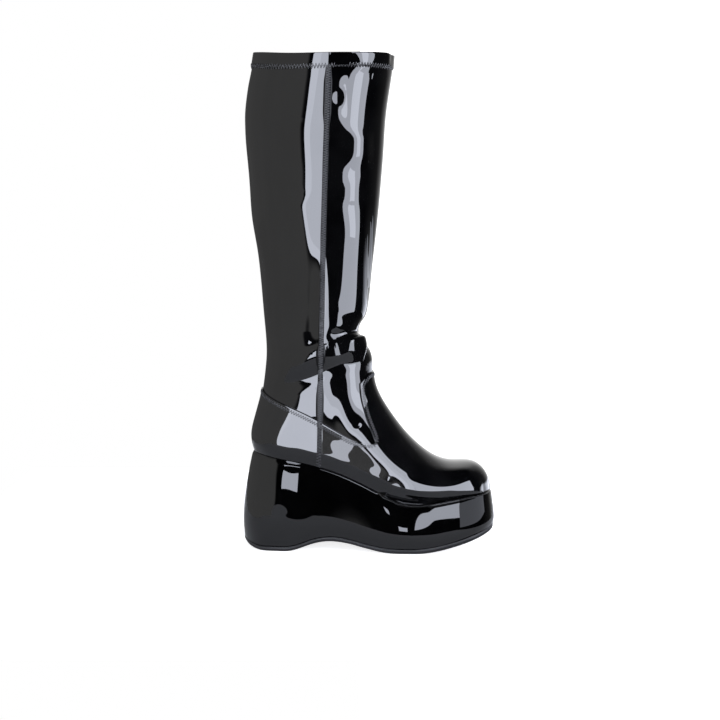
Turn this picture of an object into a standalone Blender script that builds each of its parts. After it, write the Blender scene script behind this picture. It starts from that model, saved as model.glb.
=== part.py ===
"""Platform boot for the right foot: a knee-high pull-on boot on a wave-shaped platform.

Frame: +X to the toe, +Y to the inner side of the leg, +Z up, floor at z = 0.
The tables are in millimetres and the meshes in metres.
"""

from collections import namedtuple

import bpy
import numpy as np

MM = 0.001

# Sole, seen from the side.
HEEL_BACK, TOE_TIP = -123.8, 125.0
HEEL_FLAT = (-102.0, -77.0)
BALL_FLAT = (28.0, 52.0)
HEEL_LIFT, HEEL_LIFT_POWER = 7.0, 2.0
ARCH_HEIGHT, ARCH_SKEW = 10.3, 0.736
TOE_SPRING, TOE_SPRING_POWER = 18.5, 1.33
OUTSOLE_THICK = 3.0
OUTSOLE_ROUND = 1.0
GAP = 0.3

# Top of the platform, which is the feather line of the upper.
Feather = namedtuple("Feather", "x z")
FEATHER = (
    Feather(-116, 95.5),
    Feather(-90, 90.0),
    Feather(-63, 85.2),
    Feather(-45, 80.8),
    Feather(-25, 74.2),
    Feather(-5, 65.4),
    Feather(15, 55.8),
    Feather(30, 49.6),
    Feather(43, 47.2),
    Feather(60, 48.2),
    Feather(80, 51.4),
    Feather(100, 54.0),
    Feather(126, 55.0),
)

# Walls of the platform: share of its height, and how far heel, toe and sides stand out from the top edge.
Wall = namedtuple("Wall", "share heel toe side")
PLATFORM_TOP = (-113.6, 121.6)
PLATFORM_MARGIN = 2.3
PLATFORM_WALL = (
    Wall(0.00, 9.2, 2.4, 4.6),
    Wall(0.14, 10.2, 3.4, 5.0),
    Wall(0.32, 9.8, 3.0, 4.6),
    Wall(0.52, 7.9, 2.3, 3.6),
    Wall(0.74, 5.0, 1.3, 2.3),
    Wall(0.91, 2.1, 0.5, 1.1),
    Wall(0.965, 0.9, 0.1, 0.5),
    Wall(1.00, -0.7, -1.3, -0.9),
)
SOLE_KEYS = (HEEL_FLAT[0] + 2, HEEL_FLAT[1] - 2, BALL_FLAT[0] + 2, BALL_FLAT[1] - 2)
SOLE_CELLS = (5, 2, 10, 2, 9)
SOLE_STATIONS = sum(SOLE_CELLS) + 1
SOLE_END_ROUND = (0.150, 0.200)
SOLE_FULLNESS = 2.7

# The origin is under the middle of the whole boot.
ORIGIN_X = (HEEL_BACK + TOE_TIP) / 2

# Plan of the foot at its widest: outer is the lateral side, inner the medial one.
Plan = namedtuple("Plan", "x outer inner")
FOOT_PLAN = (
    Plan(-118, 28.6, 28.6),
    Plan(-85, 30.1, 30.1),
    Plan(-55, 31.5, 30.0),
    Plan(-20, 36.1, 31.1),
    Plan(15, 42.1, 36.1),
    Plan(42, 44.6, 42.1),
    Plan(70, 43.6, 44.1),
    Plan(98, 40.1, 43.1),
    Plan(126, 35.6, 40.6),
)
TOE_SWING, TOE_SWING_FROM, TOE_SWING_TO = 3.0, 10.0, 110.0

# Half width of the leg up the shaft.
Leg = namedtuple("Leg", "z half")
LEG = (
    Leg(80, 32.0),
    Leg(130, 33.5),
    Leg(165, 35.5),
    Leg(205, 38.5),
    Leg(250, 42.0),
    Leg(300, 46.5),
    Leg(350, 51.0),
    Leg(410, 54.5),
    Leg(450, 54.0),
    Leg(490, 53.5),
)
FOOT_TO_LEG = (108.0, 190.0)

# Sections of the last, from the feather line to the collar, each from the back line to the front line.
# back_round and front_round are shares of the section's length, and fullness squares its ends.
Section = namedtuple("Section", "name back_x back_z front_x front_z back_round front_round fullness")
SECTIONS = (
    Section("feather", -111.7, 95.5, 119.8, 54.8, 0.145, 0.195, 2.8),
    Section("toe wall", -113.4, 101.5, 118.8, 62.4, 0.145, 0.190, 2.8),
    Section("toe face", -114.2, 107.5, 115.0, 71.6, 0.150, 0.175, 2.8),
    Section("toe corner", -114.3, 113.5, 107.4, 79.4, 0.155, 0.155, 2.8),
    Section("toe top", -113.2, 119.5, 95.4, 82.5, 0.160, 0.150, 2.8),
    Section("toe back", -111.6, 125.5, 80.0, 82.8, 0.170, 0.165, 2.7),
    Section("ball", -109.9, 131.5, 64.0, 88.2, 0.190, 0.215, 2.6),
    Section("low vamp", -107.9, 138.5, 49.2, 98.9, 0.220, 0.290, 2.5),
    Section("mid vamp", -105.8, 146.0, 35.2, 113.0, 0.260, 0.360, 2.4),
    Section("high vamp", -104.0, 154.0, 21.8, 130.6, 0.310, 0.430, 2.3),
    Section("instep", -102.6, 163.5, 10.2, 149.4, 0.370, 0.470, 2.2),
    Section("vamp top", -101.4, 175.0, 4.2, 169.8, 0.430, 0.490, 2.1),
    Section("fold bulge", -100.4, 187.5, 3.5, 187.5, 0.470, 0.500, 2.05),
    Section("fold lip", -100.4, 199.0, -2.2, 199.8, 0.490, 0.500, 2.0),
    Section("ankle notch", -101.0, 210.5, -9.2, 210.2, 0.500, 0.500, 2.0),
    Section("low shaft", -102.4, 228.0, -2.8, 228.0, 0.500, 0.500, 2.0),
    Section("shin", -104.6, 254.0, 2.0, 254.0, 0.500, 0.500, 2.0),
    Section("low calf", -108.3, 290.0, 5.6, 290.0, 0.500, 0.500, 2.05),
    Section("mid calf", -114.2, 327.0, 9.6, 327.0, 0.500, 0.500, 2.1),
    Section("calf", -116.2, 364.0, 13.0, 364.0, 0.500, 0.500, 2.1),
    Section("calf swell", -119.5, 400.0, 15.6, 400.0, 0.500, 0.500, 2.1),
    Section("high calf", -118.8, 432.0, 18.2, 431.0, 0.500, 0.500, 2.1),
    Section("under hem", -114.4, 460.0, 22.8, 458.5, 0.500, 0.500, 2.1),
    Section("collar", -110.6, 482.0, 24.6, 479.0, 0.500, 0.500, 2.1),
)
FRONT_PULL = 0.50
WAY_SPAN = 9.0
FEATHER_FADE = 95.0
TUCK_HEIGHT, TUCK_SHARE = 15.0, 0.10

UPPER_WALL = 1.8
INSOLE_THICK, INSOLE_CLEAR = 2.5, 3.4

# Overlays lie on the upper: the gap below them and their own thickness.
OVERLAY_THICK, HEM_THICK, STRIP_THICK = 1.1, 0.8, 0.9
STRIP_HALF_LOW, STRIP_HALF_HIGH, STRIP_WIDENS = 2.0, 3.0, (72.0, 100.0)
HEM_LEVEL = 428.5

# The side seam is nearly straight from the side.
Seam = namedtuple("Seam", "x z")
SIDE_SEAM = (Seam(-48.4, 80), Seam(-43.7, 290), Seam(-37.2, 482))

# Lines on the last: around runs from 0 at the back to 1 at the front, and level from 0 at the feather line.
# The grid of the upper has a column on the side seam and on the tongue's edge, and rows on the two top edges.
Line = namedtuple("Line", "around level")
TONGUE_EDGE = (
    Line(0.655, 0),
    Line(0.690, 40),
    Line(0.716, 79),
    Line(0.733, 88),
    Line(0.746, 98),
    Line(0.766, 108),
    Line(0.780, 117),
    Line(0.796, 125),
    Line(0.792, 150),
    Line(0.780, 220),
    Line(0.770, 440),
)
SIDE_TOP_EDGE = (
    Line(0.00, 101.0),
    Line(0.07, 96.0),
    Line(0.17, 90.2),
    Line(0.32, 86.6),
    Line(0.48, 81.9),
    Line(0.62, 78.2),
    Line(0.70, 80.2),
    Line(0.80, 81.5),
    Line(1.00, 81.5),
)
TONGUE_TOP_EDGE = (
    Line(0.00, 132.0),
    Line(0.55, 127.0),
    Line(0.79, 124.5),
    Line(0.87, 129.6),
    Line(0.94, 131.2),
    Line(1.00, 131.0),
)
FOLD_TOP_LEVEL = 192.0
BACK_CELLS, SIDE_CELLS, TONGUE_CELLS = 8, 8, 10
LOW_ROWS, TONGUE_ROWS, FOLD_ROWS, SHAFT_ROWS, HEM_ROWS = 9, 5, 6, 8, 1
LOW_CROWDING = 1.0
LATTICE_ROUNDS = 20
KEY_COLUMNS = np.cumsum([0, BACK_CELLS, 1, 1, SIDE_CELLS, TONGUE_CELLS])
KEY_ROWS = np.cumsum([0, LOW_ROWS, TONGUE_ROWS, FOLD_ROWS, SHAFT_ROWS, HEM_ROWS])
STRIP_BACK, SEAM, STRIP_FRONT, TONGUE, FRONT = KEY_COLUMNS[1:]
SIDE_TOP, TONGUE_TOP, FOLD_TOP, HEM_LOW, COLLAR = KEY_ROWS[1:]

MATERIALS = {
    "patent_upper": ((0.012, 0.012, 0.013), 0.12),
    "patent_platform": ((0.014, 0.014, 0.015), 0.14),
    "outsole_rubber": ((0.035, 0.035, 0.036), 0.55),
    "insole_cloth": ((0.05, 0.05, 0.052), 0.80),
}


def spline(rows, values, where):
    """Natural cubic curve through values given at rows, read at where."""
    rows, values = np.asarray(rows, float), np.asarray(values, float)
    step = np.diff(rows)
    rise = np.diff(values) / step
    count = len(rows)
    matrix, right = np.eye(count), np.zeros(count)
    for i in range(1, count - 1):
        matrix[i, i - 1 : i + 2] = step[i - 1], 2 * (step[i - 1] + step[i]), step[i]
        right[i] = 6 * (rise[i] - rise[i - 1])
    bend = np.linalg.solve(matrix, right)
    where = np.clip(where, rows[0], rows[-1])
    i = np.clip(np.searchsorted(rows, where) - 1, 0, count - 2)
    a, h = where - rows[i], step[i]
    slope = rise[i] - h * (2 * bend[i] + bend[i + 1]) / 6
    return values[i] + slope * a + bend[i] * a**2 / 2 + (bend[i + 1] - bend[i]) * a**3 / (6 * h)


def column(table, name):
    """One named column of a table as an array."""
    return np.array([getattr(row, name) for row in table], float)


def ease(value):
    """0 to 1 with level ends."""
    value = np.clip(value, 0, 1)
    return value * value * (3 - 2 * value)


def rounded(share, fullness):
    """Width of a rounded end, from 0 at its tip to 1 where it joins the side."""
    return np.sqrt(1 - (1 - np.clip(share, 0, 1)) ** fullness)


def ground(x):
    """Height of the sole's underside: heel lift, flat heel, arch, flat ball and toe spring."""
    lift = HEEL_LIFT * np.clip((HEEL_FLAT[0] - x) / (HEEL_FLAT[0] - HEEL_BACK), 0, None) ** HEEL_LIFT_POWER
    along = np.clip((x - HEEL_FLAT[1]) / (BALL_FLAT[0] - HEEL_FLAT[1]), 0, 1)
    arch = ARCH_HEIGHT * np.sin(np.pi * along**ARCH_SKEW) ** 2
    spring = TOE_SPRING * np.clip((x - BALL_FLAT[1]) / (TOE_TIP - BALL_FLAT[1]), 0, None) ** TOE_SPRING_POWER
    return lift + arch + spring


def feather(x):
    """Height of the platform's top edge."""
    return spline(column(FEATHER, "x"), column(FEATHER, "z"), x)


def swing(x):
    """How far the foot's middle line turns to the inner side."""
    return TOE_SWING * ease((x - TOE_SWING_FROM) / (TOE_SWING_TO - TOE_SWING_FROM))


def foot_half(x, side):
    """Half width of the foot on one side."""
    return spline(column(FOOT_PLAN, "x"), column(FOOT_PLAN, side), x)


def widest(x, z, side):
    """Half width of the last before its ends are rounded."""
    leg = spline(column(LEG, "z"), column(LEG, "half"), z)
    share = ease((z - FOOT_TO_LEG[0]) / (FOOT_TO_LEG[1] - FOOT_TO_LEG[0]))
    return foot_half(x, side) * (1 - share) + leg * share


def section_levels():
    """Level of each section: the mean way up the back and front lines."""
    back = np.stack([column(SECTIONS, "back_x"), column(SECTIONS, "back_z")], 1)
    front = np.stack([column(SECTIONS, "front_x"), column(SECTIONS, "front_z")], 1)
    way = np.linalg.norm(np.diff(back, axis=0), axis=1) + np.linalg.norm(np.diff(front, axis=0), axis=1)
    return np.concatenate([[0], np.cumsum(way / 2)])


LEVELS = section_levels()
COLLAR_LEVEL = LEVELS[-1]
ACROSS = (1 - np.cos(np.linspace(0, np.pi, 241))) / 2


def at_level(name, level):
    """A column of SECTIONS at any level."""
    return spline(LEVELS, column(SECTIONS, name), level)


def end_of(end, level):
    """Point of the back or front line and its direction across the last, both in the side view."""
    span = np.minimum(WAY_SPAN, np.minimum(level, COLLAR_LEVEL - level) + 1)
    point, ahead, behind = (
        np.stack([at_level(end + "_x", where), at_level(end + "_z", where)], -1)
        for where in (level, level + span, level - span)
    )
    along = ahead - behind
    along /= np.linalg.norm(along, axis=-1, keepdims=True)
    return point, np.stack([along[..., 1], -along[..., 0]], -1)


def spines(level):
    """Side view of the sections: they leave the back line and reach the front line square to both."""
    c = ACROSS[None, :, None]
    back, back_way = end_of("back", level)
    front, front_way = end_of("front", level)
    chord = np.linalg.norm(front - back, axis=-1)
    turn = np.clip(front_way[:, 0], 0, 1)[:, None]
    pull = (FRONT_PULL + (1 - FRONT_PULL) * turn**4) * chord[:, None]
    return (
        (2 * c**3 - 3 * c**2 + 1) * back[:, None]
        + (c**3 - 2 * c**2 + c) * (back_way * chord[:, None])[:, None]
        + (3 * c**2 - 2 * c**3) * front[:, None]
        + (c**3 - c**2) * (front_way * pull)[:, None]
    )


def feather_spine():
    """Side view of the lowest section, which is the feather line itself."""
    x = SECTIONS[0].back_x + (SECTIONS[0].front_x - SECTIONS[0].back_x) * ACROSS
    return np.stack([x, feather(x)], -1)


def section_lines(level, side):
    """Points of the sections on one side of the boot, from the back line to the front line."""
    level = np.asarray(level, float)
    spine = spines(level)
    fade = (1 - ease(level / FEATHER_FADE))[:, None, None]
    spine = spine + fade * (feather_spine() - spines(np.zeros(1))[0])[None]
    x, z = spine[..., 0], spine[..., 1]
    run = np.concatenate([np.zeros((len(level), 1)), np.cumsum(np.hypot(np.diff(x), np.diff(z)), axis=1)], 1)
    share = run / run[:, -1:]
    fullness = at_level("fullness", level)[:, None]
    half = widest(x, z, side)
    half = half * rounded(share / at_level("back_round", level)[:, None], fullness)
    half = half * rounded((1 - share) / at_level("front_round", level)[:, None], fullness)
    low = np.clip(1 - (z - feather(x)) / TUCK_HEIGHT, 0, 1)
    half = half * (1 - TUCK_SHARE * low**2)
    sign = -1 if side == "outer" else 1
    return np.stack([x, swing(x) * (1 - ease(level / COLLAR_LEVEL * 2))[:, None] + sign * half, z], -1)


def on_last(around, level):
    """Points of the last. Around runs 0 to 1 on the outer side, then on to 2 down the inner side."""
    around, level = np.broadcast_arrays(np.mod(np.asarray(around, float), 2), np.asarray(level, float))
    points = np.empty(around.shape + (3,))
    outer = around <= 1
    for side, chosen, share in (("outer", outer, around), ("inner", ~outer, 2 - around)):
        if not chosen.any():
            continue
        steps, index = np.unique(np.round(level[chosen], 6), return_inverse=True)
        lines = section_lines(steps, side)
        run = np.linalg.norm(np.diff(lines, axis=1), axis=-1)
        run = np.concatenate([np.zeros((len(steps), 1)), np.cumsum(run, axis=1)], 1)
        run /= run[:, -1:]
        wanted = share[chosen]
        points[chosen] = [
            [np.interp(s, run[i], lines[i, :, axis]) for axis in range(3)] for s, i in zip(wanted, index.reshape(-1))
        ]
    return points


def normals_of(around, level):
    """Outward directions of the last at the same points."""
    step_round, step_up = 0.004, 0.8
    low = np.clip(level - step_up, 0, COLLAR_LEVEL)
    high = np.clip(level + step_up, 0, COLLAR_LEVEL)
    forward = on_last(around + step_round, level) - on_last(around - step_round, level)
    upward = on_last(around, high) - on_last(around, low)
    normal = np.cross(forward, upward)
    return normal / np.linalg.norm(normal, axis=-1, keepdims=True)


def between(marks, count):
    """For every grid line from 0 to count, the key line before it and its share of the way to the next."""
    share = np.interp(np.arange(count + 1), marks, np.arange(len(marks)))
    low = np.minimum(share.astype(int), len(marks) - 2)
    return low, share - low


def seam_line():
    """The side seam as levels and arounds, with the length of the half section at each level."""
    level = np.linspace(0, COLLAR_LEVEL, 160)
    lines = section_lines(level, "outer")
    run = np.cumsum(np.linalg.norm(np.diff(lines, axis=1), axis=-1), axis=1)
    ahead = lines[..., 0] - spline(column(SIDE_SEAM, "z"), column(SIDE_SEAM, "x"), lines[..., 2])
    row, after = np.arange(len(level)), np.argmax(ahead > 0, axis=1)
    share = ahead[row, after] / (ahead[row, after] - ahead[row, after - 1])
    around = run[row, after - 1] * (1 - share) + run[row, after - 2] * share
    return level, around / run[:, -1], run[:, -1]


def columns_at(level, seam_levels, seam_arounds, girths):
    """Around of each grid column, for levels given as rows by columns."""
    seam = np.interp(level, seam_levels, seam_arounds)
    tongue = spline(column(TONGUE_EDGE, "level"), column(TONGUE_EDGE, "around"), level)
    widen = ease((level - STRIP_WIDENS[0]) / (STRIP_WIDENS[1] - STRIP_WIDENS[0]))
    half = (STRIP_HALF_LOW + (STRIP_HALF_HIGH - STRIP_HALF_LOW) * widen) / np.interp(level, seam_levels, girths)
    keys = np.stack([np.zeros_like(seam), seam - half, seam, seam + half, tongue, np.ones_like(seam)])
    low, share = between(KEY_COLUMNS, FRONT)
    index = np.arange(FRONT + 1)
    return keys[low, :, index].T * (1 - share) + keys[low + 1, :, index].T * share


def rows_at(around):
    """Level of each grid row, for arounds given as rows by columns."""
    side = spline(column(SIDE_TOP_EDGE, "around"), column(SIDE_TOP_EDGE, "level"), around)
    tongue = spline(column(TONGUE_TOP_EDGE, "around"), column(TONGUE_TOP_EDGE, "level"), around)
    flat = np.ones_like(around)
    keys = np.stack([0 * flat, side, tongue, FOLD_TOP_LEVEL * flat, HEM_LEVEL * flat, COLLAR_LEVEL * flat])
    low, share = between(KEY_ROWS, COLLAR)
    share = np.where(low == 0, share**LOW_CROWDING, share)
    index = np.arange(COLLAR + 1)
    return keys[low, index] * (1 - share)[:, None] + keys[low + 1, index] * share[:, None]


def lattice():
    """Around and level of the grid that the upper and its overlays share, as a ring of columns from the back."""
    level = np.linspace(0, COLLAR_LEVEL, COLLAR + 1)[:, None] * np.ones(FRONT + 1)
    seam = seam_line()
    for _ in range(LATTICE_ROUNDS):
        around = columns_at(level, *seam)
        level = rows_at(around)
    return np.concatenate([around, 2 - around[:, -2:0:-1]], 1), np.concatenate([level, level[:, -2:0:-1]], 1)


def wall_solid(name, outside, inside, cells, slot):
    """A wall between two grids, over the cells that are set. A grid whose last column of cells is set is a ring."""
    rows, columns = outside.shape[:2]
    number = {}
    points = []

    def point(grid, row, col):
        key = (grid is inside, row, col % columns)
        if key not in number:
            number[key] = len(points)
            points.append(grid[row, col % columns] * MM)
        return number[key]

    faces = []
    for row, col in zip(*np.nonzero(cells)):
        corners = ((row, col), (row, col + 1), (row + 1, col + 1), (row + 1, col))
        faces.append([point(outside, *corner) for corner in corners])
        faces.append([point(inside, *corners[k]) for k in (0, 3, 2, 1)])
        beside = ((row - 1, col), (row, col + 1), (row + 1, col), (row, col - 1))
        for side, (r, c) in enumerate(beside):
            if 0 <= r < rows - 1 and 0 <= c % columns < cells.shape[1] and cells[r, c % columns]:
                continue
            a, b = corners[side], corners[(side + 1) % 4]
            faces.append([point(outside, *b), point(outside, *a), point(inside, *a), point(inside, *b)])
    return add_piece(name, points, faces, slot)


def loops_solid(name, loops, slot):
    """A solid from rings of stations stacked upwards, its two ends closed across the stations."""
    points = np.concatenate(loops) * MM
    size = len(loops[0])
    faces = []
    for j in range(len(loops) - 1):
        for i in range(size):
            k = (i + 1) % size
            faces.append((j * size + i, j * size + k, (j + 1) * size + k, (j + 1) * size + i))
    top = (len(loops) - 1) * size
    for i in range(SOLE_STATIONS - 1):
        rim = [i, i + 1, (size - i - 1) % size, (size - i) % size]
        rim = [k for n, k in enumerate(rim) if k not in rim[:n]]
        faces += [rim[::-1], [top + k for k in rim]]
    return add_piece(name, points, faces, slot)


def add_piece(name, points, faces, slot):
    """One named object with its own material and smooth shading."""
    mesh = bpy.data.meshes.new(name)
    mesh.from_pydata([(x - ORIGIN_X * MM, y, z) for x, y, z in points], [], faces)
    mesh.materials.append(bpy.data.materials[slot])
    mesh.polygons.foreach_set("use_smooth", [True] * len(mesh.polygons))
    piece = bpy.data.objects.new(name, mesh)
    bpy.context.scene.collection.objects.link(piece)
    return piece


def station_shares():
    """Stations along the sole as shares of its length, crowded at the tips and set on the ends of the flats."""
    quarter = [np.linspace(0, np.pi / 2, cells + 1) for cells in (SOLE_CELLS[0], SOLE_CELLS[-1])]
    heel = SOLE_KEYS[0] + (HEEL_BACK - SOLE_KEYS[0]) * np.cos(quarter[0])
    toe = SOLE_KEYS[-1] + (TOE_TIP - SOLE_KEYS[-1]) * np.sin(quarter[1])
    marks = np.cumsum([0, *SOLE_CELLS[1:-1]])
    middle = np.interp(np.arange(marks[-1] + 1), marks, SOLE_KEYS)
    return (np.concatenate([heel, middle[1:], toe[1:]]) - HEEL_BACK) / (TOE_TIP - HEEL_BACK)


def sole_loop(reach, side_out, height):
    """A ring of the sole between two ends, with its sides moved out, at heights given by a function of x."""
    share = station_shares()
    x = reach[0] + (reach[1] - reach[0]) * share
    ends = rounded(share / SOLE_END_ROUND[0], SOLE_FULLNESS)
    ends = ends * rounded((1 - share) / SOLE_END_ROUND[1], SOLE_FULLNESS)
    lines = []
    for side, sign in (("outer", -1), ("inner", 1)):
        half = (foot_half(x, side) * (1 - TUCK_SHARE) + side_out) * ends
        lines.append(np.stack([x, swing(x) + sign * half, height(x)], -1))
    return np.concatenate([lines[0], lines[1][-2:0:-1]])


def add_platform():
    """The wave-shaped platform, from the outsole to the feather line, with a rounded top lip."""
    loops = []
    for wall in PLATFORM_WALL:

        def height(x, share=wall.share):
            low, high = ground(x) + OUTSOLE_THICK + GAP, feather(x) - GAP
            return low + (high - low) * share

        reach = (PLATFORM_TOP[0] - wall.heel, PLATFORM_TOP[1] + wall.toe)
        loops.append(sole_loop(reach, PLATFORM_MARGIN + wall.side, height))
    loops_solid("platform", loops, "patent_platform")


def add_outsole():
    """The thin rubber layer under the platform, with a rounded lower edge."""
    foot = PLATFORM_WALL[0]
    reach = (PLATFORM_TOP[0] - foot.heel, PLATFORM_TOP[1] + foot.toe)
    side = PLATFORM_MARGIN + foot.side
    levels = ((0.0, OUTSOLE_ROUND), (OUTSOLE_ROUND, 0.0), (OUTSOLE_THICK, 0.0))
    loops = [
        sole_loop((reach[0] + inset, reach[1] - inset), side - inset, lambda x, up=up: ground(x) + up)
        for up, inset in levels
    ]
    loops_solid("outsole", loops, "outsole_rubber")


def add_insole():
    """The sheet inside the upper, lying on the platform."""
    reach = (SECTIONS[0].back_x + INSOLE_CLEAR, SECTIONS[0].front_x - INSOLE_CLEAR)
    loops = [sole_loop(reach, -INSOLE_CLEAR, lambda x, up=up: feather(x) + up) for up in (GAP, GAP + INSOLE_THICK)]
    loops_solid("insole", loops, "insole_cloth")


class Skin:
    """The shared grid of the last, from which the upper and its overlays are cut."""

    def __init__(self):
        around, level = lattice()
        self.points, self.normals = on_last(around, level), normals_of(around, level)
        self.columns = around.shape[1]

    def raised(self, height):
        """The grid moved out, its lowest row kept on the feather line and its highest on the collar."""
        moved = self.points + self.normals * height
        flat = self.normals[0] * (1, 1, 0)
        moved[0] = self.points[0] + flat / np.linalg.norm(flat, axis=-1, keepdims=True) * height
        moved[0, :, 2] = feather(moved[0, :, 0])
        moved[-1, :, 2] = self.points[-1, :, 2]
        return moved

    def cells(self, *areas):
        """A mask of the grid's cells, set over areas of first and last row and first and last column."""
        mask = np.zeros((COLLAR, self.columns), bool)
        for low, high, start, stop in areas:
            mask[low:high, start:stop] = True
        return mask

    def strip(self, height, low, high, inner):
        """The columns of the side seam between two rows, drawn in by a gap on all sides."""
        across = (STRIP_BACK, SEAM, STRIP_FRONT)
        if inner:
            across = tuple(self.columns - c for c in reversed(across))
        grid = self.raised(height)[low : high + 1, across]
        for edge, beside in ((np.s_[:, 0], np.s_[:, 1]), (np.s_[:, 2], np.s_[:, 1]), (0, 1), (-1, -2)):
            step = grid[beside] - grid[edge]
            grid[edge] = grid[edge] + step / np.linalg.norm(step, axis=-1, keepdims=True) * GAP
        return grid


def add_upper(skin):
    """The hollow wall of foot and shaft, open at the collar and underneath."""
    cells = skin.cells((0, COLLAR, 0, skin.columns))
    wall_solid("upper", skin.raised(0), skin.raised(-UPPER_WALL), cells, "patent_upper")


def add_overlays(skin):
    """Vamp, heel counter and hem, each a layer over some cells of the upper."""
    last = skin.columns
    vamp = skin.cells((0, SIDE_TOP, STRIP_FRONT, last - STRIP_FRONT), (SIDE_TOP, TONGUE_TOP, TONGUE, last - TONGUE))
    counter = skin.cells((0, SIDE_TOP, 0, STRIP_BACK), (0, SIDE_TOP, last - STRIP_BACK, last))
    hem = skin.cells((HEM_LOW, COLLAR, 0, last))
    for name, thick, cells in (
        ("vamp", OVERLAY_THICK, vamp),
        ("heel_counter", OVERLAY_THICK, counter),
        ("collar_hem", HEM_THICK, hem),
    ):
        wall_solid(name, skin.raised(GAP + thick), skin.raised(GAP), cells, "patent_upper")


def add_strips(skin):
    """Raised side seams of the shaft, and the narrower ones between vamp and counter."""
    for name, low, high in (("quarter_seam", 0, SIDE_TOP), ("side_seam", SIDE_TOP, HEM_LOW)):
        for side in ("lateral", "medial"):
            inner = side == "medial"
            outside = skin.strip(GAP + STRIP_THICK, low, high, inner)
            inside = skin.strip(GAP, low, high, inner)
            cells = np.ones((high - low, outside.shape[1] - 1), bool)
            wall_solid(f"{name}_{side}", outside, inside, cells, "patent_upper")


def clear_scene():
    """Empties Blender's startup scene."""
    for thing in list(bpy.data.objects):
        bpy.data.objects.remove(thing)


def add_materials():
    """One plain material for each slot."""
    for slot, (colour, roughness) in MATERIALS.items():
        material = bpy.data.materials.new(slot)
        material.use_nodes = True
        shader = material.node_tree.nodes["Principled BSDF"]
        shader.inputs["Base Color"].default_value = (*colour, 1)
        shader.inputs["Roughness"].default_value = roughness


clear_scene()
add_materials()
add_outsole()
add_platform()
add_insole()
boot_skin = Skin()
add_upper(boot_skin)
add_overlays(boot_skin)
add_strips(boot_skin)
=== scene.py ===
"""Looks of the platform boot: patent upper and platform, seams, lining, sole, studio and camera.

Frame: metres, +X to the toe, -Y to the outer side and the camera, +Z up, floor at z = 0.
Folds and dents are placed in millimetres, as a maker would measure them on the boot.
"""

from __future__ import annotations

import logging
import math
from collections import deque
from contextlib import contextmanager
from dataclasses import dataclass, field
from enum import Enum, IntEnum
from typing import Any, Iterable, Iterator, Sequence

import bpy
import numpy as np
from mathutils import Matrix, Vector
from mathutils.bvhtree import BVHTree
from mathutils.kdtree import KDTree


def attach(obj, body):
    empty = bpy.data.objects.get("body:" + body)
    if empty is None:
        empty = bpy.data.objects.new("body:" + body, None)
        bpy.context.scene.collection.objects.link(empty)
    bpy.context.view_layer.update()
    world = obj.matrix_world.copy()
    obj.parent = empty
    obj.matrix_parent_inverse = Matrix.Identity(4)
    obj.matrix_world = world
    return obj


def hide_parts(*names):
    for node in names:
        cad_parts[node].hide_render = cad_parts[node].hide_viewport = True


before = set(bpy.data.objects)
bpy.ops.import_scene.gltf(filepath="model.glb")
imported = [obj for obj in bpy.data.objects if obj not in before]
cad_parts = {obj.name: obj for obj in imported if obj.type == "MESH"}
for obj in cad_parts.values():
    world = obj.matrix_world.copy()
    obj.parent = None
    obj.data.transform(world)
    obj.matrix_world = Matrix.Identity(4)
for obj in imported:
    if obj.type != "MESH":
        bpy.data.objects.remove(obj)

LOG = logging.getLogger("platform_boot")
MM = 0.001
BODY = "root"
MERGE = 1e-6
TINY = 1e-12
SHARP = math.radians(50)

Piece = bpy.types.Object
Points = np.ndarray
Socket = bpy.types.NodeSocket
Colour = tuple[float, float, float]
Span = tuple[float, float]
Pairs = tuple[tuple[float, float], ...]


class Side(Enum):
    """Side of the boot: the lateral one faces the camera."""

    LATERAL = -1
    MEDIAL = 1


class Slot(Enum):
    """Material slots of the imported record."""

    UPPER = "patent_upper"
    PLATFORM = "patent_platform"
    RUBBER = "outsole_rubber"
    CLOTH = "insole_cloth"


class Row(IntEnum):
    """Rows of the CAD grid that carry an edge or a hidden cut, counted up from the feather line."""

    FEATHER = 0
    COVERED = 7
    SIDE_TOP = 9
    TONGUE_TOP = 14
    HEM_LOW = 28
    COLLAR = 29


class Col(IntEnum):
    """Columns of the CAD grid that carry an edge, counted from the back along the lateral side."""

    SEAM = 9
    TONGUE = 18
    FRONT = 28
    AROUND = 56


class Ply(Enum):
    """How far the inner and the outer layer of a piece lie off the grid."""

    WALL = (-1.8 * MM, 0.0)
    OVERLAY = (0.3 * MM, 1.25 * MM)


def only(piece: Piece) -> None:
    """Selects one piece and nothing else."""
    bpy.ops.object.select_all(action="DESELECT")
    piece.select_set(True)
    bpy.context.view_layer.objects.active = piece


@contextmanager
def editing(piece: Piece, mode: str = "EDGE") -> Iterator[None]:
    """Edit mode on one piece.

    Args:
        piece: The piece to edit.
        mode: What is selected in it: VERT, EDGE or FACE.
    """
    only(piece)
    bpy.context.tool_settings.mesh_select_mode = tuple(mode == kind for kind in ("VERT", "EDGE", "FACE"))
    bpy.ops.object.mode_set(mode="EDIT")
    try:
        yield
    finally:
        bpy.ops.object.mode_set(mode="OBJECT")


def choose(piece: Piece, mode: str, chosen: Iterable[bool]) -> None:
    """Selects edges or faces of a piece by their number.

    Args:
        piece: The piece.
        mode: EDGE or FACE.
        chosen: One truth value for each edge or face.
    """
    flags = np.fromiter(chosen, bool)
    with editing(piece, mode):
        bpy.ops.mesh.select_all(action="DESELECT")
    parts = piece.data.edges if mode == "EDGE" else piece.data.polygons
    parts.foreach_set("select", flags)


def vertices(piece: Piece) -> Points:
    """Places of a piece's vertices."""
    flat = np.empty(len(piece.data.vertices) * 3)
    piece.data.vertices.foreach_get("co", flat)
    return flat.reshape(-1, 3)


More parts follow.
